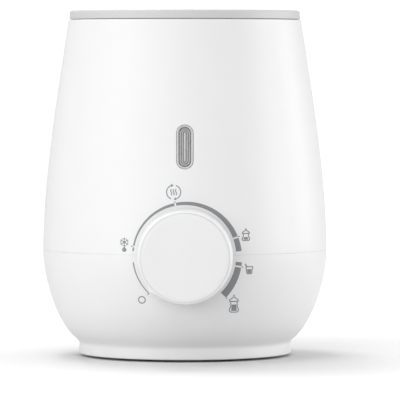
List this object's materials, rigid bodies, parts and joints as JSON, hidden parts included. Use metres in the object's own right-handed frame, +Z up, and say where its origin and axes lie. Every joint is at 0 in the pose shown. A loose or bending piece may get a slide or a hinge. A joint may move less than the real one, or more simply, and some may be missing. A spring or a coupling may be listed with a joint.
{
  "type": "bottle warmer",
  "caption": "Tabletop bottle warmer: white barrel housing around a round water bowl with a heating plate, grey rim ring, front rotary dial and indicator light.",
  "frame": {"origin": "on the table, below the centre of the whole object's bounding box; the barrel's own axis stands 6.75 mm behind it", "axes": "+Z up along the barrel's axis, -Y towards the front with the dial, +X to the right seen from the front"},
  "size_m": [0.128, 0.1414, 0.1555],
  "materials": {
    "white_shell": "satin-gloss white polypropylene",
    "white_knob": "satin white ABS",
    "grey_rim": "light grey, fine satin texture",
    "bowl_plastic": "satin off-white polypropylene",
    "plate_metal": "spun, with fine concentric grooves",
    "lens_grey": "ribbed translucent grey lens, unlit",
    "bezel_grey": "pale grey surround",
    "silicone": "translucent silicone",
    "foot_rubber": "matt grey rubber",
    "aluminium_parts": "machined aluminium",
    "bright_steel": "zinc-plated steel",
    "heater_steel": "dark oxidised stainless sheath",
    "ceramic": "cream ceramic and nylon",
    "circuit_board": "green glass-fibre laminate",
    "black_plastic": "black phenolic",
    "blue_plastic": "blue moulded plastic",
    "led_plastic": "clear epoxy lens, unlit",
    "reflector_white": "white reflector",
    "red_lead": "red silicone insulation",
    "white_lead": "white silicone insulation"
  },
  "bodies": {
    "housing": {"potentiometer_body": "black_plastic", "upper_housing": "white_shell", "lower_housing": "white_shell", "rim_ring": "grey_rim", "bowl": "bowl_plastic", "heating_plate": "plate_metal", "plate_gasket": "silicone", "clamp_ring": "bright_steel", "clamp_screw_1": "bright_steel", "clamp_screw_2": "bright_steel", "clamp_screw_3": "bright_steel", "tie_screw_1": "bright_steel", "tie_screw_2": "bright_steel", "tie_screw_3": "bright_steel", "base_screw_1": "bright_steel", "base_screw_2": "bright_steel", "base_screw_3": "bright_steel", "support_pillar_1": "ceramic", "support_pillar_2": "ceramic", "support_pillar_3": "ceramic", "heat_spreader": "aluminium_parts", "heating_ring": "heater_steel", "heater_terminal_left": "ceramic", "heater_terminal_right": "ceramic", "thermostat": "black_plastic", "thermostat_strip": "bright_steel", "thermostat_screw_1": "bright_steel", "thermostat_screw_2": "bright_steel", "temperature_sensor": "bright_steel", "base_plate": "white_shell", "rubber_foot_1": "foot_rubber", "rubber_foot_2": "foot_rubber", "rubber_foot_3": "foot_rubber", "rubber_foot_4": "foot_rubber", "power_board": "circuit_board", "board_screw_1": "bright_steel", "board_screw_2": "bright_steel", "board_screw_3": "bright_steel", "board_screw_4": "bright_steel", "relay": "blue_plastic", "film_capacitor": "ceramic", "smoothing_capacitor": "black_plastic", "terminal_block": "blue_plastic", "control_board": "circuit_board", "indicator_led": "led_plastic", "light_reflector": "reflector_white", "indicator_lens": "lens_grey", "lens_bezel": "bezel_grey", "cord_grommet": "foot_rubber", "thermal_fuse": "white_lead", "fuse_lead": "red_lead", "thermostat_lead": "red_lead", "right_heater_lead": "red_lead", "left_heater_lead": "white_lead", "sensor_lead": "white_lead", "board_ribbon": "white_lead"},
    "knob": {"knob_shell": "white_knob", "knob_face": "white_knob", "knob_clip": "bright_steel", "potentiometer_shaft": "aluminium_parts"}
  },
  "joints": [
    {"name": "dial_turn", "type": "hinge", "parent": "housing", "child": "knob", "pos_m": [0, -0.05825, 0.0476], "axis": [0, 1, 0], "range_deg": [0, 270]}
  ]
}
